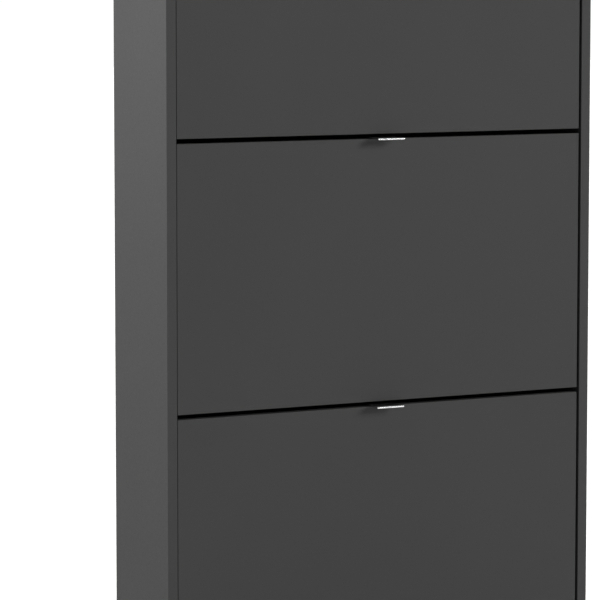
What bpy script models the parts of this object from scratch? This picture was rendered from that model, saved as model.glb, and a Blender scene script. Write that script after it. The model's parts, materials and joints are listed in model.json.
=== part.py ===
"""Tall, shallow shoe cabinet with three tilting flaps.

The carcass is 15 mm faced board. Each flap hangs on two pivot pins near its
lower edge, and carries two moulded brackets, a shelf board and a rear board
that hold the shoes. Metres, +Z up, the front faces -Y, and the origin is on
the floor under the middle of the whole cabinet.
"""
import math

import bmesh
import bpy
from mathutils import Vector

MM = 0.001

# Carcass
WIDTH = 702 * MM
DEPTH = 164 * MM
HEIGHT = 1235 * MM
BOARD = 15 * MM                 # sides, top, bottom, plinths, rails and flaps
BASE_HEIGHT = 59 * MM           # floor to the top of the bottom panel
PLINTH_SETBACK = 22 * MM        # plinth behind the side panels' front edges
BACK_SHEET = 3 * MM
BACK_INSET = 1.5 * MM           # back sheet inside the side panels' rear edges
REBATE_WIDTH = 7 * MM           # how far the back sheet reaches into each side
RAIL_HEIGHT = 70 * MM
RAIL_BELOW_FLAP = 20 * MM       # rail's top below the flap edge that it passes
EDGE_ROUND = 0.7 * MM           # rounding of every board edge
REST_GAP = 0.3 * MM             # between pieces that touch without moving
RUN_GAP = 0.1 * MM              # around a turning pin

# Joiner between the two back sheets, an H section
JOINER_WALL = 1.0 * MM
JOINER_FLANGE = 16 * MM

# Glides under the side panels
GLIDE_RADIUS = 6.5 * MM
GLIDE_HEIGHT = 3 * MM
GLIDE_NAIL_RADIUS = 1.2 * MM
GLIDE_NAIL_LENGTH = 10 * MM
GLIDE_INSET = 22 * MM           # glide's axis from the panel's front or rear edge

# Wall brackets under the top panel
BRACKET_SHEET = 2 * MM
BRACKET_WIDTH = 40 * MM
BRACKET_LEG = 26 * MM
BRACKET_DROP = 36 * MM
BRACKET_HOLE_RADIUS = 2.5 * MM
BRACKET_FROM_SIDE = 85 * MM     # bracket's middle from the side panel's inner face

# Flaps
FLAP_COUNT = 3
FLAP_GAP_LEFT = 0.9 * MM
FLAP_GAP_RIGHT = 4.0 * MM
FLAP_RECESS = 0.5 * MM          # flap's face behind the side panels' front edges
OPEN_ANGLE = math.radians(45)
PIVOT_BEHIND_FLAP = 6 * MM      # pivot axis behind the flap's back face
PIVOT_ABOVE_EDGE = 56 * MM      # pivot axis above the flap's lower edge
SWING_CLEAR = 1.29 * MM         # least room under the edge that swings inwards

# Pivot pins and the bushes that hold them in the side panels
PIN_RADIUS = 3 * MM
PIN_HEAD_RADIUS = 5 * MM
PIN_HEAD = 2.5 * MM
PIN_IN_BUSH = 9 * MM
BUSH_WALL = 3 * MM
BUSH_DEPTH = 11 * MM
BUSH_FLOOR = 1.5 * MM

# Moulded end brackets of a flap
CHEEK_SIDE_GAP = 5 * MM         # side panel to bracket
CHEEK_PLATE = 4 * MM
CHEEK_REAR_CLEAR = 10 * MM      # bracket to back sheet
CHEEK_FLANGE_WIDTH = 18 * MM
CHEEK_FLANGE = 3 * MM
FLANGE_FROM_HUB = 4 * MM        # flange's lower end above the hub
CHEEK_HUB_RADIUS = 9 * MM
CHEEK_HUB_LENGTH = 7 * MM
LEDGE = 2 * MM                  # ledges that grip a board's ends
LEDGE_REACH = 9 * MM
HOOK_LENGTH = 37 * MM
HOOK_NOSE = 4.6 * MM
STOP_FROM_ROOT = 2 * MM         # stop block above the hook's root, when open

# Boards between the end brackets
SHELF = 12 * MM
SHELF_ANGLE = math.radians(12)
SHELF_BELOW_PIVOT = 34 * MM
SHELF_TO_REAR_BOARD = 2.4 * MM
REAR_BOARD_BELOW_PIVOT = 8 * MM

# Stop blocks on the side panels
STOP_WIDTH = 11 * MM
STOP_HEIGHT = 16 * MM
STOP_BACK = 6 * MM              # block's rear face behind the pivot axis
STOP_TOUCH = 0.5 * MM           # bracket's hook to the block when open

# Handles, bent from one strip
HANDLE_WIDTH = 44 * MM
HANDLE_SHEET = 1.5 * MM
HANDLE_REACH = 20.5 * MM        # lip in front of the flap's face
HANDLE_LIP = 2.8 * MM
HANDLE_TAIL = 20 * MM
HANDLE_BEND = 0.5 * MM          # inner radius of each bend
HANDLE_EDGE = 0.3 * MM
SCREW_SPACING = 24 * MM
SCREW_DROP = 12 * MM            # screw below the flap's upper edge
SCREW_RADIUS = 1.6 * MM
SCREW_LENGTH = 10 * MM
SCREW_HEAD_RADIUS = 3.4 * MM
SCREW_HEAD = 2 * MM

ROUND_SIDES = 24
SMALL_SIDES = 16
BEND_STEPS = 4

# Worked out from the sizes above
TOTAL_DEPTH = DEPTH + HANDLE_REACH - FLAP_RECESS
BACK_Y = TOTAL_DEPTH / 2
FRONT_Y = BACK_Y - DEPTH
INNER_X = WIDTH / 2 - BOARD
TOP_UNDER = HEIGHT - BOARD
BACK_SHEET_REAR = BACK_Y - BACK_INSET
BACK_SHEET_FRONT = BACK_SHEET_REAR - BACK_SHEET
REBATE_DEPTH = BACK_INSET + BACK_SHEET + REST_GAP

FLAP_FRONT = -(BOARD + PIVOT_BEHIND_FLAP)
FLAP_BACK = -PIVOT_BEHIND_FLAP
PIVOT_Y = FRONT_Y + FLAP_RECESS - FLAP_FRONT
SWING = math.hypot(FLAP_FRONT, PIVOT_ABOVE_EDGE) - PIVOT_ABOVE_EDGE
FLAP_GAP = SWING + HANDLE_SHEET + REST_GAP + SWING_CLEAR
FLAP_HEIGHT = (TOP_UNDER - BASE_HEIGHT - (FLAP_COUNT + 1) * FLAP_GAP) / FLAP_COUNT
PITCH = FLAP_HEIGHT + FLAP_GAP
FLAP_TOP = FLAP_HEIGHT - PIVOT_ABOVE_EDGE
FLAP_MIDDLE = (FLAP_GAP_LEFT - FLAP_GAP_RIGHT) / 2

CHEEK_X = INNER_X - CHEEK_SIDE_GAP
CHEEK_FRONT = FLAP_BACK + REST_GAP
CHEEK_REAR = BACK_SHEET_FRONT - PIVOT_Y - CHEEK_REAR_CLEAR
REAR_BOARD_BACK = CHEEK_REAR - LEDGE - REST_GAP
REAR_BOARD_FRONT = REAR_BOARD_BACK - SHELF
SHELF_FRONT = CHEEK_FRONT + CHEEK_FLANGE + REST_GAP + SHELF * math.sin(SHELF_ANGLE)
SHELF_DEPTH = (REAR_BOARD_FRONT - SHELF_TO_REAR_BOARD - SHELF_FRONT) / math.cos(SHELF_ANGLE)

HOOK_PLANE = STOP_BACK + STOP_TOUCH
HOOK_TIP_HEIGHT = (
    CHEEK_REAR - HOOK_NOSE - HOOK_PLANE * math.cos(OPEN_ANGLE)
) / math.sin(OPEN_ANGLE)
HOOK_ROOT_HEIGHT = HOOK_TIP_HEIGHT - HOOK_LENGTH
CHEEK_RADIUS = math.hypot(HOOK_PLANE, HOOK_ROOT_HEIGHT)
STOP_BOTTOM = CHEEK_RADIUS + STOP_FROM_ROOT
BUSH_RADIUS = PIN_RADIUS + RUN_GAP + BUSH_WALL


# ---------------------------------------------------------------- mesh tools

def finished(bm, name, smooth=False):
    """Turn a bmesh into a mesh whose faces point out."""
    bmesh.ops.recalc_face_normals(bm, faces=bm.faces)
    mesh = bpy.data.meshes.new(name)
    bm.to_mesh(mesh)
    bm.free()
    if smooth:
        mesh.shade_smooth()
        mesh.set_sharp_from_angle(angle=math.radians(40))
    return mesh


def round_edges(bm, width, least_angle=30):
    """Round the edges that are sharper than least_angle."""
    limit = math.radians(least_angle)
    edges = [edge for edge in bm.edges if edge.calc_face_angle(0) > limit]
    bmesh.ops.bevel(bm, geom=edges, offset=width, segments=2, profile=0.5, affect="EDGES")


def box_mesh(name, low, high, edge=0.0):
    """A box between two corners."""
    low, high = Vector(low), Vector(high)
    bm = bmesh.new()
    bmesh.ops.create_cube(bm, size=1.0)
    bmesh.ops.scale(bm, vec=high - low, verts=bm.verts)
    bmesh.ops.translate(bm, vec=(low + high) / 2, verts=bm.verts)
    if edge:
        round_edges(bm, edge)
    return finished(bm, name)


def prism_mesh(name, outline, low, high, axis="X", edge=0.0):
    """An outline extruded along an axis. It is (y, z) along X and (x, y) along Z."""
    place = {
        "X": lambda point, along: (along, point[0], point[1]),
        "Z": lambda point, along: (point[0], point[1], along),
    }[axis]
    bm = bmesh.new()
    first = [bm.verts.new(place(point, low)) for point in outline]
    last = [bm.verts.new(place(point, high)) for point in outline]
    bm.faces.new(first)
    bm.faces.new(list(reversed(last)))
    for index in range(len(outline)):
        after = (index + 1) % len(outline)
        bm.faces.new((first[index], first[after], last[after], last[index]))
    if edge:
        round_edges(bm, edge, least_angle=50)
    return finished(bm, name)


def turned_mesh(name, profile, sides, axis="X"):
    """A profile of (along, radius) points turned about an axis, closed at both ends."""
    place = {
        "X": lambda along, u, v: (along, u, v),
        "Y": lambda along, u, v: (v, along, u),
        "Z": lambda along, u, v: (u, v, along),
    }[axis]
    bm = bmesh.new()
    rings = []
    for along, radius in profile:
        if radius == 0:
            rings.append([bm.verts.new(place(along, 0, 0))])
            continue
        turns = [2 * math.pi * step / sides for step in range(sides)]
        rings.append([
            bm.verts.new(place(along, radius * math.cos(turn), radius * math.sin(turn)))
            for turn in turns
        ])
    for near, far in zip(rings, rings[1:]):
        for index in range(sides):
            after = (index + 1) % sides
            corners = [near[index % len(near)], near[after % len(near)],
                       far[after % len(far)], far[index % len(far)]]
            bm.faces.new(list(dict.fromkeys(corners)))
    return finished(bm, name, smooth=True)


def rod_mesh(name, start, end, radius, sides, axis="X", middle=(0, 0, 0)):
    """A plain round rod, used as a cutter and as a boss."""
    mesh = turned_mesh(name, [(start, 0), (start, radius), (end, radius), (end, 0)], sides, axis)
    for vertex in mesh.vertices:
        vertex.co += Vector(middle)
    return mesh


def around(radius, sides, gap):
    """Corner radius of a many-sided hole that leaves a gap all round a rod."""
    return (radius + gap) / math.cos(math.pi / sides)


def combined_mesh(name, base, joins=(), cuts=(), smooth=False):
    """Join meshes to a base, then cut others out of it, and return one mesh."""
    body = bpy.data.objects.new(name, base)
    helpers = [body]
    tools = [(mesh, "UNION") for mesh in joins] + [(mesh, "DIFFERENCE") for mesh in cuts]
    for mesh, operation in tools:
        tool = bpy.data.objects.new(mesh.name, mesh)
        tool.hide_render = True
        tool.display_type = "WIRE"
        helpers.append(tool)
        boolean = body.modifiers.new(operation.title(), "BOOLEAN")
        boolean.operation = operation
        boolean.solver = "EXACT"
        boolean.object = tool
    for helper in helpers:
        bpy.context.scene.collection.objects.link(helper)
    view = bpy.context.evaluated_depsgraph_get()
    result = bpy.data.meshes.new_from_object(body.evaluated_get(view))
    result.name = name
    for helper in helpers:
        bpy.data.objects.remove(helper)
    if smooth:
        result.shade_smooth()
        result.set_sharp_from_angle(angle=math.radians(40))
    return result


def bent_strip(centreline, thickness, bend):
    """Outline of a strip that follows a line of square bends, (y, z) points."""
    def offset_side(sign):
        points = []
        for index, corner in enumerate(centreline):
            here = Vector(corner)
            before = (here - Vector(centreline[index - 1])).normalized() if index else None
            after = None
            if index + 1 < len(centreline):
                after = (Vector(centreline[index + 1]) - here).normalized()
            if before is None or after is None:
                along = after or before
                points.append(here + sign * thickness / 2 * Vector((-along.y, along.x)))
                continue
            turn = before.x * after.y - before.y * after.x
            radius = bend if sign * turn > 0 else bend + thickness
            inside = bend + thickness / 2
            centre = here - before * inside + after * inside
            start = math.atan2(-(after.y), -(after.x))
            for step in range(BEND_STEPS + 1):
                angle = start + math.copysign(math.pi / 2, turn) * step / BEND_STEPS
                points.append(centre + radius * Vector((math.cos(angle), math.sin(angle))))
        return points
    return offset_side(1) + list(reversed(offset_side(-1)))


# ----------------------------------------------------------------- materials

def material(name, colour, roughness, metallic=0.0):
    """A plain finish for one kind of piece."""
    finish = bpy.data.materials.new(name)
    finish.use_nodes = True
    shader = finish.node_tree.nodes["Principled BSDF"]
    shader.inputs["Base Color"].default_value = (*colour, 1)
    shader.inputs["Roughness"].default_value = roughness
    shader.inputs["Metallic"].default_value = metallic
    return finish


def place(name, mesh, finish, location=(0, 0, 0), parent=None):
    """Make one named piece of a mesh."""
    piece = bpy.data.objects.new(name, mesh)
    if not mesh.materials:
        mesh.materials.append(finish)
    mesh.materials[0] = finish
    piece.location = location
    piece.parent = parent
    bpy.context.scene.collection.objects.link(piece)
    return piece


def board(name, low, high, finish):
    """A board between two corners of the cabinet's own frame."""
    middle = (Vector(low) + Vector(high)) / 2
    mesh = box_mesh(name, Vector(low) - middle, Vector(high) - middle, EDGE_ROUND)
    return place(name, mesh, finish, middle)


# ------------------------------------------------------------------- carcass

def pivot_heights():
    """Height of each flap's pivot axis, the upper flap first."""
    lowest = BASE_HEIGHT + FLAP_GAP + PIVOT_ABOVE_EDGE
    return [lowest + PITCH * (FLAP_COUNT - 1 - index) for index in range(FLAP_COUNT)]


def glide_places():
    """Front and rear glide, behind the front edge and before the rear one."""
    return {"front": FRONT_Y + GLIDE_INSET, "rear": BACK_Y - GLIDE_INSET}


def side_panel(name, side, finish):
    """A side panel with a rebate for the back sheet and bores for bushes and glides."""
    low, high = GLIDE_HEIGHT + REST_GAP, TOP_UNDER - REST_GAP
    outer, inner = side * WIDTH / 2, side * INNER_X
    rebate = side * (INNER_X + REBATE_WIDTH + REST_GAP)
    outline = [
        (outer, FRONT_Y), (inner, FRONT_Y), (inner, BACK_Y - REBATE_DEPTH),
        (rebate, BACK_Y - REBATE_DEPTH), (rebate, BACK_Y), (outer, BACK_Y),
    ]
    cuts = []
    bore = around(BUSH_RADIUS, ROUND_SIDES, REST_GAP)
    floor = side * (INNER_X + BUSH_DEPTH + REST_GAP)
    for height in pivot_heights():
        middle = (0, PIVOT_Y, height)
        cuts.append(rod_mesh("bush_bore", side * (INNER_X - 1 * MM), floor, bore,
                             ROUND_SIDES, "X", middle))
    nail = around(GLIDE_NAIL_RADIUS, SMALL_SIDES, REST_GAP)
    for depth in glide_places().values():
        middle = (side * (WIDTH - BOARD) / 2, depth, 0)
        cuts.append(rod_mesh("nail_bore", 0, low + GLIDE_NAIL_LENGTH + REST_GAP, nail,
                             SMALL_SIDES, "Z", middle))
    panel = prism_mesh(name, outline, low, high, "Z", EDGE_ROUND)
    return place(name, combined_mesh(name, panel, cuts=cuts), finish)


def joiner(name, height, finish):
    """H section that holds the edges of the two back sheets."""
    web, half = JOINER_WALL / 2, JOINER_FLANGE / 2
    rear, front = BACK_SHEET_REAR + REST_GAP, BACK_SHEET_FRONT - REST_GAP
    outline = [
        (front - JOINER_WALL, -half), (front, -half), (front, -web), (rear, -web),
        (rear, -half), (rear + JOINER_WALL, -half), (rear + JOINER_WALL, half), (rear, half),
        (rear, web), (front, web), (front, half), (front - JOINER_WALL, half),
    ]
    length = INNER_X - REST_GAP
    return place(name, prism_mesh(name, outline, -length, length), finish, (0, 0, height))


def wall_bracket(name, side, finish):
    """Steel angle that ties the top panel to the wall through the back sheet."""
    rear = BACK_SHEET_FRONT - REST_GAP
    top = TOP_UNDER - REST_GAP
    middle = side * (INNER_X - BRACKET_FROM_SIDE)
    half = BRACKET_SHEET / 2
    line = [(rear - BRACKET_LEG, top - half), (rear - half, top - half),
            (rear - half, top - BRACKET_DROP)]
    outline = bent_strip(line, BRACKET_SHEET, BRACKET_SHEET)
    sheet = prism_mesh(name, outline, -BRACKET_WIDTH / 2, BRACKET_WIDTH / 2)
    cuts = []
    for step in (-1, 1):
        across = step * BRACKET_WIDTH / 4
        cuts.append(rod_mesh("upper_hole", top - 2 * BRACKET_SHEET, top + BRACKET_SHEET,
                             BRACKET_HOLE_RADIUS, SMALL_SIDES, "Z",
                             (across, rear - BRACKET_LEG * 0.6, 0)))
        cuts.append(rod_mesh("wall_hole", rear - 2 * BRACKET_SHEET, rear + BRACKET_SHEET,
                             BRACKET_HOLE_RADIUS, SMALL_SIDES, "Y",
                             (across, 0, top - BRACKET_DROP * 0.65)))
    return place(name, combined_mesh(name, sheet, cuts=cuts), finish, (middle, 0, 0))


def glide(name, side, depth, finish):
    """Nail-on plastic glide under a side panel."""
    profile = [
        (0, 0), (0, GLIDE_RADIUS - 0.8 * MM), (0.8 * MM, GLIDE_RADIUS),
        (GLIDE_HEIGHT, GLIDE_RADIUS), (GLIDE_HEIGHT, GLIDE_NAIL_RADIUS),
        (GLIDE_HEIGHT + GLIDE_NAIL_LENGTH - 2 * MM, GLIDE_NAIL_RADIUS),
        (GLIDE_HEIGHT + GLIDE_NAIL_LENGTH, 0),
    ]
    mesh = turned_mesh(name, profile, SMALL_SIDES, "Z")
    return place(name, mesh, finish, (side * (WIDTH - BOARD) / 2, depth, 0))


def carcass(finishes):
    """Everything that stands still, apart from the flaps' bushes and stops."""
    wood = finishes["board"]
    half, inner = WIDTH / 2, INNER_X - REST_GAP
    side_panel("side_panel_left", -1, wood)
    side_panel("side_panel_right", 1, wood)
    board("top_panel", (-half, FRONT_Y, TOP_UNDER), (half, BACK_Y, HEIGHT), wood)
    board("bottom_panel", (-inner, FRONT_Y + FLAP_RECESS, BASE_HEIGHT - BOARD),
          (inner, BACK_SHEET_FRONT - REST_GAP, BASE_HEIGHT), wood)

    plinth_top = BASE_HEIGHT - BOARD - REST_GAP
    plinth_front = FRONT_Y + PLINTH_SETBACK
    board("plinth_front", (-inner, plinth_front, GLIDE_HEIGHT),
          (inner, plinth_front + BOARD, plinth_top), wood)
    plinth_back = BACK_SHEET_FRONT - REST_GAP
    board("plinth_rear", (-inner, plinth_back - BOARD, GLIDE_HEIGHT),
          (inner, plinth_back, plinth_top), wood)

    heights = pivot_heights()
    rail_tops = [height - PIVOT_ABOVE_EDGE - RAIL_BELOW_FLAP for height in heights[:-1]]
    joint = rail_tops[0] - RAIL_HEIGHT / 2
    rail_names = ("cross_rail_upper", "cross_rail_lower")
    for name, top in zip(rail_names, rail_tops):
        rear = BACK_SHEET_FRONT - JOINER_WALL - 2 * REST_GAP
        board(name, (-inner, rear - BOARD, top - RAIL_HEIGHT), (inner, rear, top), wood)

    reach = INNER_X + REBATE_WIDTH
    web = JOINER_WALL / 2 + REST_GAP
    sheets = {
        "back_panel_upper": (joint + web, TOP_UNDER - REST_GAP),
        "back_panel_lower": (GLIDE_HEIGHT, joint - web),
    }
    for name, (low, high) in sheets.items():
        mesh = box_mesh(name, (-reach, BACK_SHEET_FRONT, low), (reach, BACK_SHEET_REAR, high))
        place(name, mesh, finishes["back"])
    joiner("back_joiner", joint, finishes["plastic"])

    for word, side in (("left", -1), ("right", 1)):
        wall_bracket("wall_bracket_" + word, side, finishes["steel"])
        for end, depth in glide_places().items():
            glide("glide_" + end + "_" + word, side, depth, finishes["plastic"])


# --------------------------------------------------------------------- flaps

def bush_mesh(side):
    """Blind bush pressed into a side panel, its mouth level with the inner face."""
    mouth, floor = INNER_X, INNER_X + BUSH_DEPTH
    bore = around(PIN_RADIUS, ROUND_SIDES, RUN_GAP)
    profile = [(mouth, bore), (floor - BUSH_FLOOR, bore), (floor - BUSH_FLOOR, 0)]
    outer = [(mouth, bore), (mouth, BUSH_RADIUS), (floor, BUSH_RADIUS), (floor, 0)]
    line = [(side * along, radius) for along, radius in reversed(profile)]
    line += [(side * along, radius) for along, radius in outer[1:]]
    return turned_mesh("pivot_bush", line, ROUND_SIDES)


def pin_mesh(side):
    """Headed pivot pin, from inside the bracket into the side panel's bush."""
    tip = INNER_X + PIN_IN_BUSH
    seat = CHEEK_X - CHEEK_HUB_LENGTH - REST_GAP
    chamfer = 0.6 * MM
    profile = [
        (tip, 0), (tip, PIN_RADIUS - chamfer), (tip - chamfer, PIN_RADIUS), (seat, PIN_RADIUS),
        (seat, PIN_HEAD_RADIUS), (seat - PIN_HEAD + chamfer, PIN_HEAD_RADIUS),
        (seat - PIN_HEAD, PIN_HEAD_RADIUS - chamfer), (seat - PIN_HEAD, 0),
    ]
    return turned_mesh("pivot_pin", [(side * along, r) for along, r in profile], ROUND_SIDES)


def shelf_point(along, above):
    """A point in the shelf board's own directions, from its lower front edge."""
    turn = SHELF_ANGLE
    return (SHELF_FRONT + along * math.cos(turn) - above * math.sin(turn),
            -SHELF_BELOW_PIVOT + along * math.sin(turn) + above * math.cos(turn))


def strip(along_low, along_high, above_low, above_high):
    """Outline of a strip that lies along the shelf board."""
    return [shelf_point(along_low, above_low), shelf_point(along_high, above_low),
            shelf_point(along_high, above_high), shelf_point(along_low, above_high)]


def closed_point(depth, height):
    """Where a point of the open bracket is when its flap is closed."""
    turn = OPEN_ANGLE
    return (depth * math.cos(turn) + height * math.sin(turn),
            -depth * math.sin(turn) + height * math.cos(turn))


def cheek_outline():
    """Side view of a bracket: front edge, arc under the stop, hook, rear and bottom."""
    margin = 5 * MM
    root = closed_point(HOOK_PLANE, HOOK_ROOT_HEIGHT)
    tip = closed_point(HOOK_PLANE, HOOK_TIP_HEIGHT)
    arc_start = math.radians(86)
    arc_end = math.atan2(root[1], root[0])
    steps = 10
    arc = []
    for step in range(steps):
        turn = arc_start + (arc_end - arc_start) * step / steps
        arc.append((CHEEK_RADIUS * math.cos(turn), CHEEK_RADIUS * math.sin(turn)))
    slope = math.tan(SHELF_ANGLE)
    bottom = shelf_point(0, -margin)
    front_low = bottom[1] + (CHEEK_FRONT - bottom[0]) * slope
    rear_low = bottom[1] + (CHEEK_REAR - bottom[0]) * slope
    return [
        (CHEEK_FRONT, front_low), (CHEEK_FRONT, flange_top() + 4 * MM), *arc, root, tip,
        (CHEEK_REAR, tip[1] - HOOK_NOSE), (CHEEK_REAR, rear_low),
    ]


def flange_top():
    """Upper end of the flange that is screwed to the flap."""
    return CHEEK_RADIUS - 30 * MM


def rear_board_top():
    """Rear board's upper edge, below the root of the hook."""
    return closed_point(HOOK_PLANE, HOOK_ROOT_HEIGHT)[1] - 4 * MM


def cheek_mesh(side):
    """Moulded end bracket: plate, hub, screw flange and ledges for two boards."""
    outer, inner = CHEEK_X, CHEEK_X - CHEEK_PLATE
    root = outer - CHEEK_PLATE / 2

    def ribs(outline, reach, name):
        ends = sorted((side * root, side * (inner - reach)))
        return prism_mesh(name, outline, *ends)

    plate = prism_mesh("cheek", cheek_outline(), *sorted((side * outer, side * inner)))
    hub = rod_mesh("hub", side * root, side * (outer - CHEEK_HUB_LENGTH), CHEEK_HUB_RADIUS,
                   ROUND_SIDES)
    for vertex in hub.vertices:
        vertex.co.y = max(vertex.co.y, CHEEK_FRONT)
    flange_low = CHEEK_HUB_RADIUS + FLANGE_FROM_HUB
    flange = [(CHEEK_FRONT, flange_low), (CHEEK_FRONT + CHEEK_FLANGE, flange_low),
              (CHEEK_FRONT + CHEEK_FLANGE, flange_top()), (CHEEK_FRONT, flange_top())]
    under = strip(4 * MM, SHELF_DEPTH - 2 * MM, -REST_GAP - LEDGE, -REST_GAP)
    over = strip(14 * MM, SHELF_DEPTH - 10 * MM, SHELF + REST_GAP, SHELF + REST_GAP + LEDGE)
    ledge_top = rear_board_top() - 4 * MM
    front = REAR_BOARD_FRONT - REST_GAP
    rear = REAR_BOARD_BACK + REST_GAP
    front_low = shelf_point(SHELF_DEPTH, SHELF)[1] + 4 * MM
    rear_low = -REAR_BOARD_BELOW_PIVOT
    before = [(front - LEDGE, front_low), (front, front_low), (front, ledge_top),
              (front - LEDGE, ledge_top)]
    behind = [(rear, rear_low), (rear + LEDGE, rear_low), (rear + LEDGE, ledge_top),
              (rear, ledge_top)]
    joins = [hub, ribs(flange, CHEEK_FLANGE_WIDTH, "flange"), ribs(under, LEDGE_REACH, "under"),
             ribs(over, LEDGE_REACH, "over"), ribs(before, LEDGE_REACH, "before"),
             ribs(behind, LEDGE_REACH, "behind")]
    bore = rod_mesh("bore", side * (outer + 1 * MM), side * (outer - CHEEK_HUB_LENGTH - 1 * MM),
                    around(PIN_RADIUS, ROUND_SIDES, REST_GAP), ROUND_SIDES)
    return combined_mesh("flap_bracket", plate, joins, [bore])


def shelf_mesh():
    """Sloping board that the shoes stand on."""
    half = CHEEK_X - CHEEK_PLATE - REST_GAP
    return prism_mesh("shelf_board", strip(0, SHELF_DEPTH, 0, SHELF), -half, half, "X",
                      EDGE_ROUND)


def rear_board_mesh():
    """Upright board behind the shoes."""
    half = CHEEK_X - CHEEK_PLATE - REST_GAP
    return box_mesh("rear_board", (-half, REAR_BOARD_FRONT, -REAR_BOARD_BELOW_PIVOT),
                    (half, REAR_BOARD_BACK, rear_board_top()), EDGE_ROUND)


def screw_places():
    """Where the two handle screws are, across the flap."""
    return {"left": FLAP_MIDDLE - SCREW_SPACING / 2, "right": FLAP_MIDDLE + SCREW_SPACING / 2}


def flap_mesh():
    """Flap board with two pilot holes for the handle's screws."""
    panel = box_mesh("flap_front",
                     (-INNER_X + FLAP_GAP_LEFT, FLAP_FRONT, -PIVOT_ABOVE_EDGE),
                     (INNER_X - FLAP_GAP_RIGHT, FLAP_BACK, FLAP_TOP), EDGE_ROUND)
    radius = around(SCREW_RADIUS, SMALL_SIDES, REST_GAP)
    deepest = FLAP_BACK - SCREW_LENGTH - REST_GAP
    cuts = [
        rod_mesh("pilot_hole", FLAP_BACK + 1 * MM, deepest, radius, SMALL_SIDES, "Y",
                 (across, 0, FLAP_TOP - SCREW_DROP))
        for across in screw_places().values()
    ]
    return combined_mesh("flap_front", panel, cuts=cuts)


def handle_mesh():
    """Tab handle: a lip in front, a plate over the flap's upper edge, a tail behind."""
    half = HANDLE_SHEET / 2
    level = FLAP_TOP + REST_GAP + half
    lip = FLAP_FRONT - HANDLE_REACH + half
    tail = FLAP_BACK + REST_GAP + half
    line = [(lip, level + half - HANDLE_LIP), (lip, level), (tail, level),
            (tail, FLAP_TOP - HANDLE_TAIL)]
    outline = bent_strip(line, HANDLE_SHEET, HANDLE_BEND)
    strip_low = FLAP_MIDDLE - HANDLE_WIDTH / 2
    sheet = prism_mesh("handle", outline, strip_low, strip_low + HANDLE_WIDTH, "X", HANDLE_EDGE)
    cuts = [
        rod_mesh("screw_hole", FLAP_BACK - 1 * MM, tail + HANDLE_SHEET + 1 * MM,
                 around(SCREW_RADIUS, SMALL_SIDES, REST_GAP), SMALL_SIDES, "Y",
                 (across, 0, FLAP_TOP - SCREW_DROP))
        for across in screw_places().values()
    ]
    return combined_mesh("handle", sheet, cuts=cuts, smooth=True)


def screw_mesh():
    """Pan-head screw, its point towards the front, on its own axis."""
    seat = FLAP_BACK + REST_GAP + HANDLE_SHEET + REST_GAP
    point = FLAP_BACK - SCREW_LENGTH
    dome = 0.7 * MM
    profile = [
        (point, 0), (point + 2 * MM, SCREW_RADIUS), (seat, SCREW_RADIUS),
        (seat, SCREW_HEAD_RADIUS), (seat + SCREW_HEAD - dome, SCREW_HEAD_RADIUS),
        (seat + SCREW_HEAD, SCREW_HEAD_RADIUS - 2 * dome), (seat + SCREW_HEAD, 0),
    ]
    return turned_mesh("handle_screw", profile, SMALL_SIDES, "Y")


def stop_mesh(side):
    """Block that the flap closes against and the bracket's hook opens against."""
    inner, outer = INNER_X - STOP_WIDTH, INNER_X - REST_GAP
    low_x, high_x = sorted((side * inner, side * outer))
    return box_mesh("stop_block", (low_x, FLAP_BACK + REST_GAP, STOP_BOTTOM),
                    (high_x, STOP_BACK, STOP_BOTTOM + STOP_HEIGHT), EDGE_ROUND)


def flaps(finishes):
    """Three flaps, each on an empty at its pivot axis, with its bushes and stops."""
    pairs = {word: {"bush": bush_mesh(side), "pin": pin_mesh(side), "cheek": cheek_mesh(side),
                    "stop": stop_mesh(side)}
             for word, side in (("left", -1), ("right", 1))}
    shared = {"flap_front": flap_mesh(), "shelf_board": shelf_mesh(),
              "rear_board": rear_board_mesh(), "handle": handle_mesh()}
    looks = {"flap_front": "board", "shelf_board": "board", "rear_board": "board",
             "handle": "handle"}
    screw = screw_mesh()
    for height, level in zip(pivot_heights(), ("upper", "middle", "lower")):
        axis = bpy.data.objects.new("flap_axis_" + level, None)
        axis.location = (0, PIVOT_Y, height)
        bpy.context.scene.collection.objects.link(axis)
        for name, mesh in shared.items():
            place(name + "_" + level, mesh, finishes[looks[name]], parent=axis)
        for word, meshes in pairs.items():
            tail = level + "_" + word
            place("flap_bracket_" + tail, meshes["cheek"], finishes["plastic"], parent=axis)
            place("pivot_pin_" + tail, meshes["pin"], finishes["steel"], parent=axis)
            across = (screw_places()[word], 0, FLAP_TOP - SCREW_DROP)
            place("handle_screw_" + tail, screw, finishes["steel"], across, axis)
            at_axis = (0, PIVOT_Y, height)
            place("pivot_bush_" + tail, meshes["bush"], finishes["plastic"], at_axis)
            place("stop_block_" + tail, meshes["stop"], finishes["rubber"], at_axis)


def build():
    """Clear the scene and model the whole cabinet."""
    for old in list(bpy.data.objects):
        bpy.data.objects.remove(old)
    finishes = {
        "board": material("dark_grey_board", (0.065, 0.065, 0.066), 0.55),
        "back": material("back_sheet", (0.05, 0.05, 0.05), 0.7),
        "plastic": material("black_plastic", (0.03, 0.03, 0.03), 0.45),
        "rubber": material("stop_rubber", (0.04, 0.04, 0.04), 0.8),
        "steel": material("zinc_steel", (0.6, 0.6, 0.6), 0.35, 1.0),
        "handle": material("bright_metal", (0.8, 0.8, 0.8), 0.2, 1.0),
    }
    carcass(finishes)
    flaps(finishes)


build()
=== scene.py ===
"""Looks of the tilting-flap shoe cabinet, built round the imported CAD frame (metres, +Z up)."""
import json
import math

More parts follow.
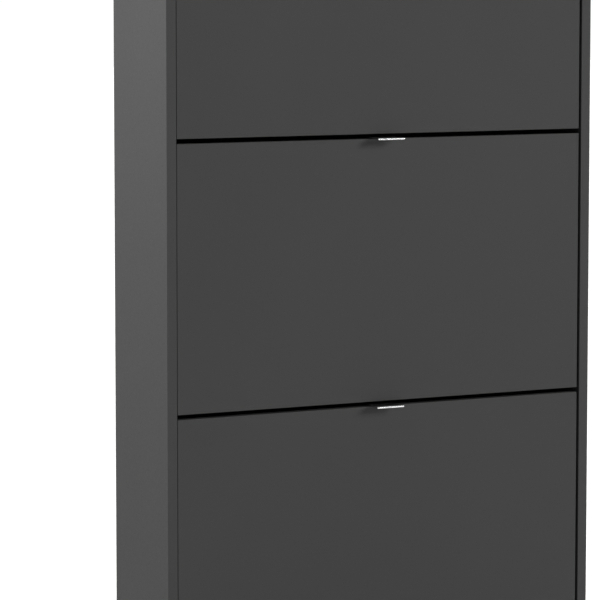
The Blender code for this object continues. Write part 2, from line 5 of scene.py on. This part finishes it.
import bmesh
import bpy
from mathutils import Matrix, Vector


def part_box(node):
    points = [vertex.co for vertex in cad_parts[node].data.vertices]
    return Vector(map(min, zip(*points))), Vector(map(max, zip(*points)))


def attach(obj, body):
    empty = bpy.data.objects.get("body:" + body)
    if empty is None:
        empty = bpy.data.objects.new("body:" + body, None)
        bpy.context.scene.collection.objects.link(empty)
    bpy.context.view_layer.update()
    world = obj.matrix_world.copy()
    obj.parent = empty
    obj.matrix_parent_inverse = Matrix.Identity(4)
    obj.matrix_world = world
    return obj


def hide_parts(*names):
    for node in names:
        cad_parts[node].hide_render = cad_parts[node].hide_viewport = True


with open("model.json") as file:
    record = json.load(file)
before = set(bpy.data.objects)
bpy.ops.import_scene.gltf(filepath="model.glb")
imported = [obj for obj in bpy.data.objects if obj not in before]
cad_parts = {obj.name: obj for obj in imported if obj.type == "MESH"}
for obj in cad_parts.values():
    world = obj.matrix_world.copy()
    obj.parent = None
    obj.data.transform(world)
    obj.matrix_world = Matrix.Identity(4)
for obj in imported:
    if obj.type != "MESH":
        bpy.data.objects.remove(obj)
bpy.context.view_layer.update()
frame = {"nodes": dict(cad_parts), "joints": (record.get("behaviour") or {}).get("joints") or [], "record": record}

MM = 0.001
LEVELS = ("upper", "middle", "lower")
SIDES = {"left": -1, "right": 1}
RECORD = frame["record"]
PIVOTS = {
    level: Vector(joint["pos_m"])
    for level in LEVELS
    for joint in frame["joints"] if joint["child"] == "flap_" + level
}

# Studio
FLOOR_SIZE = 60.0
CAMERA_YAW = math.radians(29.165)
CAMERA_PITCH = math.radians(5.533)
CAMERA_PLACE = (-2.4697, -4.2362, 1.0653)
CAMERA_LENS = 203.15
VIEW_END = 200                        # farthest distance that the camera draws
BRIGHT_WAY = (-0.45, 0.89, 0.0)       # towards the brightest part of the surroundings
WORLD_DIM = 0.1
WORLD_BRIGHT = 1.05
WORLD_SPAN = (-0.9, 0.5)              # share of BRIGHT_WAY where the dim and bright ends lie

# The handle's bent sheet
SHEET = 1.5 * MM
LIP = 2.8 * MM
BEND_RADIUS = 0.5 * MM + SHEET / 2
BEND_STEPS = 8
LIP_CORNER = 0.7 * MM
TAIL_CORNER = 3 * MM
CORNER_SHARES = (0, 0.06, 0.2, 0.42, 0.7, 1)
HANDLE_SOFT_EDGE = 0.22 * MM
HANDLE_CREASE = 12                    # degrees; keeps the flat faces flat beside their rims

# Screw heads; the cross recess, filled with black bars as painted shade, is in shares of the head's radius
PAN_HEAD = 3.3 * MM
SMALL_HEAD = 2.6 * MM
HEAD_SIDES = 20
RECESS_LIFT = 0.2
RECESS_REACH = 0.42
RECESS_DEPTH = 0.26
BAR_HALF_WIDTH = 0.22                 # of a recess bar, in shares of its half length

# Screws in the flaps' end brackets
FLANGE = 3 * MM
FLANGE_SCREW_INSET = 9 * MM           # from the bracket's inner end
FLANGE_SCREW_RISES = (28 * MM, 86 * MM)
SHELF_SLOPE = math.tan(math.radians(12))
SHELF_SCREW_LIFT = 6.2 * MM           # above the shelf board's lower front edge
SHELF_SCREW_RUNS = (30 * MM, 86 * MM)
REAR_SCREW_RISES = (14 * MM, 58 * MM)

# Back nails
NAIL_HEAD = 1.7 * MM
NAIL_STEP = 105 * MM
NAIL_INSET = 4 * MM
NAIL_SHARES = (-0.66, -0.33, 0, 0.33, 0.66)
NAIL_SIDES = 12

# Cam locks under the top panel
CAM_RADIUS = 7.5 * MM
CAM_PROUD = 0.2 * MM
CAM_FROM_SIDE = 24 * MM
CAM_FROM_FRONT = 38 * MM
CAM_FROM_REAR = 42 * MM
CAM_SLOT = 3.2 * MM
CAM_SIDES = 28

# Wall brackets
BRACKET_SHEET = 2 * MM
BRACKET_SCREW_SHARE = 0.6             # of the bracket's depth, from its rear face


# ------------------------------------------------------------ material tools

class Nodes:
    """Short names for the nodes of one material."""

    def __init__(self, name, roughness=0.5, metallic=0.0, specular=0.5):
        self.material = bpy.data.materials.new(name)
        self.material.use_nodes = True
        self.tree = self.material.node_tree
        self.shader = self.tree.nodes["Principled BSDF"]
        self.shader.inputs["Roughness"].default_value = roughness
        self.shader.inputs["Metallic"].default_value = metallic
        self.shader.inputs["Specular IOR Level"].default_value = specular
        self.place = self.tree.nodes.new("ShaderNodeTexCoord").outputs["Object"]

    def link(self, source, target):
        self.tree.links.new(source, target)

    def noise(self, scale, detail=3.0, roughness=0.55, stretch=(1, 1, 1)):
        """Noise in metres, stretched along the axes."""
        mapping = self.tree.nodes.new("ShaderNodeMapping")
        mapping.inputs["Scale"].default_value = stretch
        texture = self.tree.nodes.new("ShaderNodeTexNoise")
        texture.inputs["Scale"].default_value = scale
        texture.inputs["Detail"].default_value = detail
        texture.inputs["Roughness"].default_value = roughness
        self.link(self.place, mapping.inputs["Vector"])
        self.link(mapping.outputs["Vector"], texture.inputs["Vector"])
        return texture.outputs["Fac"]

    def ramp(self, source, stops):
        """Colours along a value: stops are (position, colour)."""
        node = self.tree.nodes.new("ShaderNodeValToRGB")
        elements = node.color_ramp.elements
        while len(elements) < len(stops):
            elements.new(0.5)
        for element, (position, colour) in zip(elements, stops):
            element.position = position
            element.color = (*colour, 1)
        self.link(source, node.inputs["Fac"])
        return node.outputs["Color"]

    def remap(self, source, low, high, to_low, to_high):
        """A value carried from one range to another."""
        node = self.tree.nodes.new("ShaderNodeMapRange")
        node.inputs["From Min"].default_value = low
        node.inputs["From Max"].default_value = high
        node.inputs["To Min"].default_value = to_low
        node.inputs["To Max"].default_value = to_high
        self.link(source, node.inputs["Value"])
        return node.outputs["Result"]

    def add(self, first, second):
        """The sum of two values."""
        node = self.tree.nodes.new("ShaderNodeMath")
        node.operation = "ADD"
        self.link(first, node.inputs[0])
        self.link(second, node.inputs[1])
        return node.outputs["Value"]

    def mix(self, share, first, second):
        """Two colours mixed by a share, each a colour or a socket."""
        node = self.tree.nodes.new("ShaderNodeMix")
        node.data_type = "RGBA"
        self.link(share, node.inputs["Factor"])
        for socket, value in ((node.inputs[6], first), (node.inputs[7], second)):
            if isinstance(value, tuple):
                socket.default_value = (*value, 1)
            else:
                self.link(value, socket)
        return node.outputs[2]

    def facing(self, name):
        """One part of the surface's own direction."""
        node = self.tree.nodes.new("ShaderNodeSeparateXYZ")
        self.link(self.tree.nodes.new("ShaderNodeTexCoord").outputs["Normal"],
                  node.inputs["Vector"])
        return node.outputs[name]

    def bump(self, height, strength, distance):
        node = self.tree.nodes.new("ShaderNodeBump")
        node.inputs["Strength"].default_value = strength
        node.inputs["Distance"].default_value = distance
        self.link(height, node.inputs["Height"])
        self.link(node.outputs["Normal"], self.shader.inputs["Normal"])

    def colour(self, source):
        self.link(source, self.shader.inputs["Base Color"])

    def roughness(self, source):
        self.link(source, self.shader.inputs["Roughness"])


def board_finish():
    """Matt dark melamine foil: a fine pressed grain, faint tone changes, dull upward faces."""
    m = Nodes("dark_board", roughness=0.58, specular=0.235)
    tone = m.noise(5.0, detail=4.0, stretch=(1, 1, 0.6))
    grain = m.noise(1500.0, detail=2.0)
    peel = m.noise(420.0, detail=3.0)
    base = m.ramp(tone, [(0.25, (0.0222, 0.0220, 0.0221)), (0.75, (0.0248, 0.0245, 0.0246))])
    fleck = m.remap(grain, 0.35, 0.7, 0.0, 0.22)
    m.colour(m.mix(fleck, base, (0.0310, 0.0305, 0.0307)))
    upward = m.remap(m.facing("Z"), 0.5, 1.0, 0.0, 0.3)
    m.roughness(m.add(m.remap(peel, 0.3, 0.7, 0.53, 0.63), upward))
    m.bump(m.add(grain, peel), 0.22, 0.00006)
    return m.material


def back_finish():
    """Thin hardboard: dark foil inside, raw brown fibre outside."""
    m = Nodes("back_sheet", roughness=0.7, specular=0.4)
    fibre = m.noise(900.0, detail=5.0, roughness=0.7, stretch=(0.25, 1, 1))
    cloud = m.noise(14.0, detail=5.0)
    raw = m.ramp(cloud, [(0.3, (0.222, 0.141, 0.080)), (0.7, (0.256, 0.165, 0.094))])
    raw = m.mix(m.remap(fibre, 0.35, 0.75, 0.0, 0.55), raw, (0.13, 0.075, 0.04))
    outside = m.remap(m.facing("Y"), 0.4, 0.6, 0.0, 1.0)
    m.colour(m.mix(outside, (0.024, 0.024, 0.0245), raw))
    m.roughness(m.remap(fibre, 0.2, 0.8, 0.55, 0.85))
    m.bump(fibre, 0.35, 0.0002)
    return m.material


def plastic_finish(name, tone, roughness):
    """Moulded plastic with a spark-eroded texture."""
    m = Nodes(name, specular=0.45)
    spark = m.noise(1100.0, detail=3.0, roughness=0.7)
    flow = m.noise(30.0, detail=2.0)
    low = tuple(value * 0.85 for value in tone)
    high = tuple(value * 1.2 for value in tone)
    m.colour(m.ramp(flow, [(0.3, low), (0.7, high)]))
    m.roughness(m.remap(spark, 0.2, 0.8, roughness - 0.08, roughness + 0.1))
    m.bump(spark, 0.3, 0.00008)
    return m.material


def zinc_finish():
    """Bright zinc plating with faint crystals and rub marks."""
    m = Nodes("zinc_steel", metallic=1.0)
    crystal = m.noise(260.0, detail=4.0, roughness=0.7)
    rub = m.noise(500.0, detail=3.0, stretch=(0.1, 1, 1))
    m.colour(m.ramp(crystal, [(0.3, (0.50, 0.51, 0.53)), (0.7, (0.66, 0.66, 0.65))]))
    m.roughness(m.remap(rub, 0.2, 0.8, 0.24, 0.42))
    m.bump(rub, 0.15, 0.00004)
    return m.material


def handle_finish():
    """Polished metal with a very fine lengthwise brushing."""
    m = Nodes("bright_metal", metallic=1.0)
    brush = m.noise(2400.0, detail=3.0, stretch=(0.02, 1, 1))
    haze = m.noise(60.0, detail=2.0)
    m.colour(m.ramp(haze, [(0.3, (0.59, 0.59, 0.595)), (0.7, (0.62, 0.62, 0.625))]))
    m.roughness(m.remap(brush, 0.2, 0.8, 0.20, 0.24))
    m.bump(brush, 0.025, 0.00003)
    return m.material


def floor_finish():
    """Plain pale studio floor with a faint, even texture."""
    m = Nodes("pale_floor", roughness=0.65, specular=0.2)
    cloud = m.noise(3.0, detail=4.0)
    m.colour(m.ramp(cloud, [(0.3, (0.86, 0.86, 0.86)), (0.7, (0.88, 0.88, 0.88))]))
    return m.material


FINISHES = {
    "dark_board": board_finish(),
    "back_sheet": back_finish(),
    "black_plastic": plastic_finish("black_plastic", (0.022, 0.022, 0.023), 0.45),
    "stop_rubber": plastic_finish("stop_rubber", (0.03, 0.03, 0.03), 0.75),
    "zinc_steel": zinc_finish(),
    "bright_metal": handle_finish(),
}


# ---------------------------------------------------------------- mesh tools

def finished(bm, name, smooth=True, crease=35):
    """A mesh from a bmesh, faces out, smooth up to a crease angle in degrees."""
    bmesh.ops.recalc_face_normals(bm, faces=bm.faces)
    mesh = bpy.data.meshes.new(name)
    bm.to_mesh(mesh)
    bm.free()
    if smooth:
        mesh.shade_smooth()
        mesh.set_sharp_from_angle(angle=math.radians(crease))
    return mesh


def add_piece(name, mesh, slot, body, replaced=()):
    """Put a mesh in the scene, with its finish, on a body."""
    piece = bpy.data.objects.new(name, mesh)
    bpy.context.scene.collection.objects.link(piece)
    mesh.materials.append(FINISHES[slot])
    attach(piece, body)
    if replaced:
        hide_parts(*replaced)
    return piece


def frame_about(along):
    """A unit axis and two directions square to it."""
    along = Vector(along).normalized()
    across = along.orthogonal().normalized()
    return along, across, along.cross(across)


def turned(bm, profile, centre, along, sides):
    """Turn (distance, radius) points about an axis through a centre."""
    along, across, third = frame_about(along)
    rings = []
    for distance, radius in profile:
        middle = Vector(centre) + along * distance
        if radius == 0:
            rings.append([bm.verts.new(middle)])
            continue
        ring = []
        for step in range(sides):
            turn = 2 * math.pi * step / sides
            ring.append(bm.verts.new(
                middle + radius * (across * math.cos(turn) + third * math.sin(turn))))
        rings.append(ring)
    for near, far in zip(rings, rings[1:]):
        for index in range(sides):
            after = (index + 1) % sides
            corners = [near[index % len(near)], near[after % len(near)],
                       far[after % len(far)], far[index % len(far)]]
            bm.faces.new(list(dict.fromkeys(corners)))


def joined_rings(bm, rings):
    """Faces between following rings of corners, and over both ends."""
    for first, second in zip(rings, rings[1:]):
        for index in range(len(first)):
            after = (index + 1) % len(first)
            bm.faces.new((first[index], first[after], second[after], second[index]))
    bm.faces.new(list(reversed(rings[0])))
    bm.faces.new(rings[-1])


# -------------------------------------------------------------------- studio

def studio():
    """Floor, camera, world and lights."""
    bm = bmesh.new()
    bmesh.ops.create_grid(bm, x_segments=1, y_segments=1, size=FLOOR_SIZE / 2)
    mesh = finished(bm, "floor", smooth=False)
    floor = bpy.data.objects.new("floor", mesh)
    mesh.materials.append(floor_finish())
    bpy.context.scene.collection.objects.link(floor)

    data = bpy.data.cameras.new("camera")
    data.lens = CAMERA_LENS
    data.clip_end = VIEW_END
    camera = bpy.data.objects.new("camera", data)
    camera.location = CAMERA_PLACE
    camera.rotation_euler = (math.pi / 2 - CAMERA_PITCH, 0, -CAMERA_YAW)
    bpy.context.scene.collection.objects.link(camera)
    bpy.context.scene.camera = camera

    studio_world()
    bpy.context.scene.view_settings.view_transform = "Standard"
    sun("key_right", along=(-0.695, 0.640, -0.330), strength=2.45, spread=20)
    lamp("side_left", place=(-1.7, 0.35, 1.9), target=(-0.35, 0, 1.15), size=0.7, power=8.2,
         spread=66)
    sun("overhead", along=(0.35, -1.0, -1.9), strength=1.75, spread=70)


def studio_world():
    """White surroundings, dimmer in front of the cabinet and to its right."""
    world = bpy.data.worlds.new("studio")
    world.use_nodes = True
    tree = world.node_tree
    way = tree.nodes.new("ShaderNodeTexCoord").outputs["Generated"]
    towards = tree.nodes.new("ShaderNodeVectorMath")
    towards.operation = "DOT_PRODUCT"
    towards.inputs[1].default_value = BRIGHT_WAY
    span = tree.nodes.new("ShaderNodeMapRange")
    span.inputs["From Min"].default_value = WORLD_SPAN[0]
    span.inputs["From Max"].default_value = WORLD_SPAN[1]
    span.inputs["To Min"].default_value = WORLD_DIM
    span.inputs["To Max"].default_value = WORLD_BRIGHT
    background = tree.nodes["Background"]
    background.inputs["Color"].default_value = (1, 1, 1, 1)
    tree.links.new(way, towards.inputs[0])
    tree.links.new(towards.outputs["Value"], span.inputs["Value"])
    tree.links.new(span.outputs["Result"], background.inputs["Strength"])
    bpy.context.scene.world = world


def sun(name, along, strength, spread):
    """A soft parallel light along a direction; its spread is in degrees."""
    data = bpy.data.lights.new(name, "SUN")
    data.energy = strength
    data.angle = math.radians(spread)
    light = bpy.data.objects.new(name, data)
    light.rotation_euler = Vector(along).to_track_quat("-Z", "Y").to_euler()
    bpy.context.scene.collection.objects.link(light)


def lamp(name, place, target, size, power, spread):
    """A soft square light that looks at a target; its spread is in degrees."""
    data = bpy.data.lights.new(name, "AREA")
    data.size = size
    data.spread = math.radians(spread)
    data.energy = power
    light = bpy.data.objects.new(name, data)
    light.location = place
    light.rotation_euler = (Vector(target) - Vector(place)).to_track_quat("-Z", "Y").to_euler()
    bpy.context.scene.collection.objects.link(light)


# ------------------------------------------------------------------ finishes

def carried_over():
    """The CAD nodes that stay get the finish of their own slot."""
    slots = {part["node"]: part["material_slot"] for part in RECORD["subparts"]}
    for name, node in frame["nodes"].items():
        node.data.materials.clear()
        node.data.materials.append(FINISHES[slots[name]])


# ------------------------------------------------------------------- handles

def arc(centre, start, end):
    """Points of a sheet bend in the (y, z) plane; angles in degrees."""
    turns = [math.radians(start + (end - start) * step / BEND_STEPS)
             for step in range(BEND_STEPS + 1)]
    return [(centre[0] + BEND_RADIUS * math.cos(turn), centre[1] + BEND_RADIUS * math.sin(turn), 0)
            for turn in turns]


def rounded_end(depth, end, radius):
    """Points up a sheet's rounded end, each with how far its sides draw in."""
    points = []
    for share in CORNER_SHARES:
        drawn_in = radius * (1 - math.sqrt(1 - (1 - share) ** 2))
        points.append((depth, end + radius * share, drawn_in))
    return points


def handle(level):
    """Tab handle bent from one sheet, with smooth bends and rounded corners."""
    low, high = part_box("handle_" + level)
    half = SHEET / 2
    lip_y, tail_y, plate_z = low.y + half, high.y - half, high.z - half
    middle, reach = (low.x + high.x) / 2, (high.x - low.x) / 2
    line = rounded_end(lip_y, high.z - LIP, LIP_CORNER)
    line += arc((lip_y + BEND_RADIUS, plate_z - BEND_RADIUS), 180, 90)
    line += arc((tail_y - BEND_RADIUS, plate_z - BEND_RADIUS), 90, 0)
    line += reversed(rounded_end(tail_y, low.z, TAIL_CORNER))
    bm = bmesh.new()
    rows = []
    for index, (y, z, drawn_in) in enumerate(line):
        before, after = line[max(index - 1, 0)], line[min(index + 1, len(line) - 1)]
        along = Vector((after[0] - before[0], after[1] - before[1])).normalized()
        across = Vector((-along.y, along.x)) * half
        width = reach - drawn_in
        rows.append([bm.verts.new((middle + side * width, y + face * across.x, z + face * across.y))
                     for side, face in ((-1, 1), (1, 1), (1, -1), (-1, -1))])
    joined_rings(bm, rows)
    bmesh.ops.recalc_face_normals(bm, faces=bm.faces)
    rims = [edge for edge in bm.edges if edge.calc_face_angle(0) > math.radians(60)]
    bmesh.ops.bevel(bm, geom=rims, offset=HANDLE_SOFT_EDGE, segments=2, profile=0.6,
                    affect="EDGES", clamp_overlap=True)
    add_piece("tab_" + level, finished(bm, "tab", crease=HANDLE_CREASE), "bright_metal",
              "flap_" + level, ["handle_" + level])


# ----------------------------------------------------------------- fasteners

def pan_head(bm, centre, along, radius):
    """Pan head with a shallow dished well for its cross recess."""
    height = radius * 0.55
    well = radius * 0.34
    profile = [(-0.2 * MM, radius * 0.97), (height * 0.35, radius), (height * 0.7, radius * 0.9),
               (height * 0.95, radius * 0.66), (height, radius * 0.45), (height, well),
               (height * 0.35, well * 0.55), (height * 0.25, 0)]
    turned(bm, profile, centre, along, HEAD_SIDES)


def recess_shade_bars(bm, centre, along, size, depth):
    """Two thin crossed bars that fill a head's recess; drawn black, they are painted shade in place of the hollow.
    """
    along, across, third = frame_about(along)
    for first, second in ((across, third), (third, across)):
        rings = []
        for lift in (0, depth):
            rings.append([
                bm.verts.new(Vector(centre) + along * lift
                             + (first * u + second * v * BAR_HALF_WIDTH) * size)
                for u, v in ((-1, -1), (1, -1), (1, 1), (-1, 1))])
        joined_rings(bm, rings)


def heads(name, places, along, body, radius=PAN_HEAD):
    """Screw heads at several places, all facing one way, with painted shade in their cross recesses."""
    bm = bmesh.new()
    for place in places:
        pan_head(bm, place, along, radius)
    add_piece(name, finished(bm, name), "zinc_steel", body)
    bm = bmesh.new()
    # black bars in the cross recesses: painted shade where the recess is hollow
    for place in places:
        recess_shade_bars(bm, Vector(place) + Vector(along).normalized() * radius * RECESS_LIFT, along,
                   radius * RECESS_REACH, radius * RECESS_DEPTH)
    add_piece(name + "_slots", finished(bm, name, smooth=False), "black_plastic", body)


def flap_screws(level):
    """Screws that tie the end brackets to the front, shelf and rear board."""
    pivot = PIVOTS[level]
    body = "flap_" + level
    shelf_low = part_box("shelf_board_" + level)[0]
    rear_low, rear_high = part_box("rear_board_" + level)
    rear_middle = (rear_low.y + rear_high.y) / 2
    for word, side in SIDES.items():
        low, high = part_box(f"flap_bracket_{level}_{word}")
        outer, inner = (low.x, high.x) if side < 0 else (high.x, low.x)
        column = inner + side * FLANGE_SCREW_INSET
        heads(f"flange_screws_{level}_{word}",
              [(column, low.y + FLANGE, pivot.z + rise) for rise in FLANGE_SCREW_RISES],
              (0, 1, 0), body)
        places = [(outer, shelf_low.y + run, shelf_low.z + SHELF_SCREW_LIFT + run * SHELF_SLOPE)
                  for run in SHELF_SCREW_RUNS]
        places += [(outer, rear_middle, pivot.z + rise) for rise in REAR_SCREW_RISES]
        heads(f"end_screws_{level}_{word}", places, (side, 0, 0), body, SMALL_HEAD)


def stop_screws(level):
    """One screw through each stop block into the side panel."""
    for word, side in SIDES.items():
        low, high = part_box(f"stop_block_{level}_{word}")
        middle = (low + high) / 2
        face = low.x if side > 0 else high.x
        heads(f"stop_screw_{level}_{word}", [(face, middle.y, middle.z)], (-side, 0, 0),
              "carcass", SMALL_HEAD)


def nail_places():
    """Nails down both edges of each back sheet, and along the boards behind it."""
    upper_sheet, lower_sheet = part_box("back_panel_upper"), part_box("back_panel_lower")
    places = []
    for low, high in (upper_sheet, lower_sheet):
        count = round((high.z - low.z) / NAIL_STEP)
        for step in range(count + 1):
            height = low.z + NAIL_INSET + (high.z - low.z - 2 * NAIL_INSET) * step / count
            places += [(low.x + NAIL_INSET, high.y, height), (high.x - NAIL_INSET, high.y, height)]
    heights = {"top_panel": upper_sheet[1].z - NAIL_INSET,
               "bottom_panel": lower_sheet[0].z + NAIL_INSET}
    for node in ("top_panel", "bottom_panel", "cross_rail_upper", "cross_rail_lower"):
        low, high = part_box(node)
        height = heights.get(node, (low.z + high.z) / 2)
        places += [(high.x * share, upper_sheet[1].y, height) for share in NAIL_SHARES]
    return places


def back_nails():
    """Flat nail heads on the back sheets."""
    bm = bmesh.new()
    for place in nail_places():
        profile = [(-0.3 * MM, NAIL_HEAD), (0.25 * MM, NAIL_HEAD), (0.45 * MM, NAIL_HEAD * 0.8),
                   (0.5 * MM, 0)]
        turned(bm, profile, place, (0, 1, 0), NAIL_SIDES)
    add_piece("back_nails", finished(bm, "nails"), "zinc_steel", "carcass")


def cam_locks():
    """Cam locks in the underside of the top panel, two at each end, with painted shade in their slots."""
    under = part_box("top_panel")[0].z
    left_low, left_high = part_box("side_panel_left")
    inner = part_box("side_panel_right")[0].x
    discs, slots = bmesh.new(), bmesh.new()
    for side in SIDES.values():
        for depth in (left_low.y + CAM_FROM_FRONT, left_high.y - CAM_FROM_REAR):
            centre = (side * (inner - CAM_FROM_SIDE), depth, under)
            profile = [(-0.4 * MM, CAM_RADIUS), (CAM_PROUD - 0.1 * MM, CAM_RADIUS),
                       (CAM_PROUD, CAM_RADIUS - 0.15 * MM), (CAM_PROUD, 0)]
            turned(discs, profile, centre, (0, 0, -1), CAM_SIDES)
            # black bars in each cam's slot: painted shade where the slot is hollow
            recess_shade_bars(slots, Vector(centre) - Vector((0, 0, CAM_PROUD - 0.1 * MM)), (0, 0, -1),
                       CAM_SLOT, 0.15 * MM)
    add_piece("cam_locks", finished(discs, "cams"), "zinc_steel", "carcass")
    add_piece("cam_slots", finished(slots, "cams", smooth=False), "black_plastic", "carcass")


def bracket_screws():
    """Two screws up through each wall bracket into the top panel."""
    for word in SIDES:
        low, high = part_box("wall_bracket_" + word)
        middle, spread = (low.x + high.x) / 2, (high.x - low.x) / 4
        depth = high.y - BRACKET_SCREW_SHARE * (high.y - low.y)
        heads("bracket_screws_" + word,
              [(middle + spread * step, depth, high.z - BRACKET_SHEET) for step in (-1, 1)],
              (0, 0, -1), "carcass")


studio()
carried_over()
for level in LEVELS:
    handle(level)
    flap_screws(level)
    stop_screws(level)
back_nails()
cam_locks()
bracket_screws()
